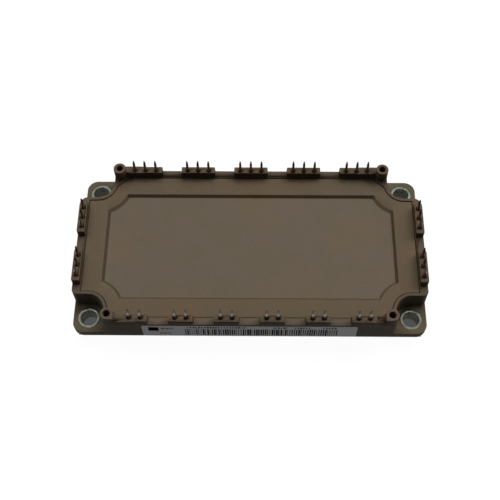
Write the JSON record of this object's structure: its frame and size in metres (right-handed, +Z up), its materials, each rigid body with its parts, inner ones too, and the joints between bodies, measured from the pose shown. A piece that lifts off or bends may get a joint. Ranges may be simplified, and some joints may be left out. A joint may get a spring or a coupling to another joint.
{
  "type": "igbt module",
  "caption": "Flat power transistor module: moulded frame with a sunken lid panel, solder pins in groups along every side, board seats and steel-lined mounting holes at the corners.",
  "frame": {"origin": "middle of the baseplate's underside", "axes": "+X along the module's length, +Y towards the long side whose pins stand in threes, +Z up through the lid along the pins"},
  "size_m": [0.1214, 0.062, 0.021],
  "materials": {
    "moulded_plastic": "matte taupe glass-filled moulding",
    "nickel_plate": "matte nickel plating on copper",
    "zinc_steel": "bright zinc-plated rolled steel",
    "tinned_pins": "satin tin plating",
    "label_film": "satin printed film",
    "copper": "etched copper foil",
    "alumina": "fired white ceramic",
    "silicon": "metallised silicon",
    "sensor": "glass-coated bead",
    "bond_aluminium": "drawn aluminium wire",
    "gel": "clear soft silicone"
  },
  "bodies": {
    "root": {"baseplate": "nickel_plate", "frame": "moulded_plastic", "lid": "moulded_plastic", "label": "label_film", "bushing_front_left": "zinc_steel", "bushing_front_right": "zinc_steel", "bushing_back_left": "zinc_steel", "bushing_back_right": "zinc_steel", "pins_front_1": "tinned_pins", "pins_front_2": "tinned_pins", "pins_front_3": "tinned_pins", "pins_front_4": "tinned_pins", "pins_front_5": "tinned_pins", "pins_front_6": "tinned_pins", "pins_back_1": "tinned_pins", "pins_back_2": "tinned_pins", "pins_back_3": "tinned_pins", "pins_back_4": "tinned_pins", "pins_back_5": "tinned_pins", "pins_left_front": "tinned_pins", "pins_left_back": "tinned_pins", "pins_right_front": "tinned_pins", "pins_right_back": "tinned_pins", "backing_1": "copper", "backing_2": "copper", "backing_3": "copper", "ceramic_1": "alumina", "ceramic_2": "alumina", "ceramic_3": "alumina", "tracks_1": "copper", "tracks_2": "copper", "tracks_3": "copper", "igbt_chips_1": "silicon", "igbt_chips_2": "silicon", "igbt_chips_3": "silicon", "diode_chips_1": "silicon", "diode_chips_2": "silicon", "diode_chips_3": "silicon", "thermistor": "sensor", "bond_wires_1": "bond_aluminium", "bond_wires_2": "bond_aluminium", "bond_wires_3": "bond_aluminium", "pin_wires": "bond_aluminium", "silicone_gel": "gel"}
  },
  "joints": []
}
